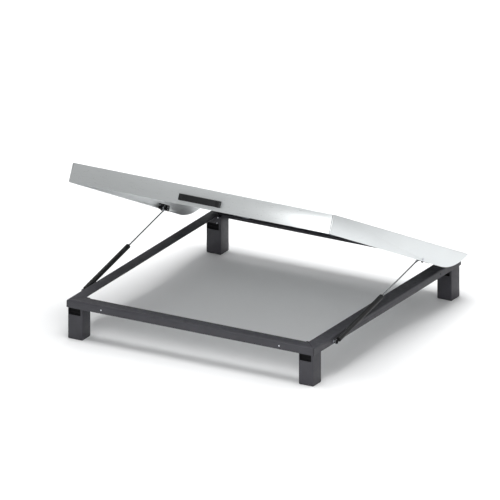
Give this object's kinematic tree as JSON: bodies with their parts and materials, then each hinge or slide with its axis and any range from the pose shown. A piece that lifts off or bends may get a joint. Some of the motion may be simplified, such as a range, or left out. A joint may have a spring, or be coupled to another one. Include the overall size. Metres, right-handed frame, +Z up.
{
  "type": "adjustable bed base",
  "caption": "Low steel-angle bed frame with legs and a full-size sheet lid, hinged along its rear edge and held open by gas struts.",
  "frame": {"origin": "on the floor, under the middle of the frame", "axes": "+X to the right of someone who faces the handle, +Y towards the hinges, +Z up"},
  "size_m": [2.0096, 1.988, 1.1771],
  "materials": {
    "powder_coat": "fine-textured satin powder coat, graphite grey",
    "satin_sheet": "fine satin sheet, pale grey",
    "bearer_paint": "satin paint, dark grey",
    "black_plastic": "satin moulded plastic, black",
    "black_paint": "semi-gloss lacquer, black",
    "rubber": "matt rubber, black",
    "zinc": "bright zinc plating",
    "polished_steel": "ground and hard-chromed bar"
  },
  "bodies": {
    "frame": {"front_rail": "powder_coat", "right_rail": "powder_coat", "rear_rail": "powder_coat", "left_rail": "powder_coat", "leg_front_left": "powder_coat", "glide_front_left": "black_plastic", "brace_front_left": "powder_coat", "leg_front_right": "powder_coat", "glide_front_right": "black_plastic", "brace_front_right": "powder_coat", "leg_rear_left": "powder_coat", "glide_rear_left": "black_plastic", "brace_rear_left": "powder_coat", "leg_rear_right": "powder_coat", "glide_rear_right": "black_plastic", "brace_rear_right": "powder_coat", "lower_ball_stud_left": "zinc", "lower_ball_stud_right": "zinc", "hinge_fixed_leaf_left": "zinc", "hinge_fixed_leaf_centre": "zinc", "hinge_fixed_leaf_right": "zinc", "hinge_pin_left": "polished_steel", "hinge_pin_centre": "polished_steel", "hinge_pin_right": "polished_steel"},
    "lid": {"deck_panel": "satin_sheet", "front_fascia": "satin_sheet", "side_fascia_left": "satin_sheet", "side_fascia_right": "satin_sheet", "side_bearer_left": "bearer_paint", "side_bearer_right": "bearer_paint", "front_bearer": "bearer_paint", "cross_bearer_1": "bearer_paint", "cross_bearer_2": "bearer_paint", "cross_bearer_3": "bearer_paint", "rear_bearer": "bearer_paint", "bumper_left": "rubber", "bumper_right": "rubber", "handle_grip": "black_plastic", "handle_mount_left": "black_plastic", "handle_mount_right": "black_plastic", "anchor_plate_left": "black_paint", "anchor_plate_right": "black_paint", "upper_ball_stud_left": "zinc", "upper_ball_stud_right": "zinc", "hinge_moving_leaf_left": "zinc", "hinge_moving_leaf_centre": "zinc", "hinge_moving_leaf_right": "zinc"},
    "left_cylinder": {"strut_lower_socket_left": "black_plastic", "strut_tube_left": "black_paint", "strut_guide_left": "black_plastic"},
    "left_rod": {"strut_rod_left": "polished_steel", "strut_piston_left": "polished_steel", "strut_upper_socket_left": "black_plastic"},
    "right_cylinder": {"strut_lower_socket_right": "black_plastic", "strut_tube_right": "black_paint", "strut_guide_right": "black_plastic"},
    "right_rod": {"strut_rod_right": "polished_steel", "strut_piston_right": "polished_steel", "strut_upper_socket_right": "black_plastic"}
  },
  "joints": [
    {"name": "lid_hinge", "type": "hinge", "parent": "frame", "child": "lid", "pos_m": [0, 0.986, 0.2813], "axis": [1, 0, 0], "range_deg": [0, 25.7]},
    {"name": "left_cylinder_swivel", "type": "hinge", "parent": "frame", "child": "left_cylinder", "pos_m": [-0.9675, -0.727, 0.242], "axis": [1, 0, 0], "range_deg": [-15, 0.5]},
    {"name": "left_rod_swivel", "type": "hinge", "parent": "lid", "child": "left_rod", "pos_m": [-0.9675, 0.3849, 0.46661], "axis": [1, 0, 0], "range_deg": [-41, 0.5]},
    {"name": "right_cylinder_swivel", "type": "hinge", "parent": "frame", "child": "right_cylinder", "pos_m": [0.9675, -0.727, 0.242], "axis": [1, 0, 0], "range_deg": [-15, 0.5]},
    {"name": "right_rod_swivel", "type": "hinge", "parent": "lid", "child": "right_rod", "pos_m": [0.9675, 0.3849, 0.46661], "axis": [1, 0, 0], "range_deg": [-41, 0.5]}
  ],
  "couplings": [
    {"joint": "left_cylinder_swivel", "follows": "lid_hinge", "ratio": -0.55544},
    {"joint": "left_rod_swivel", "follows": "lid_hinge", "ratio": -1.5554},
    {"joint": "right_cylinder_swivel", "follows": "lid_hinge", "ratio": -0.55544},
    {"joint": "right_rod_swivel", "follows": "lid_hinge", "ratio": -1.5554}
  ]
}
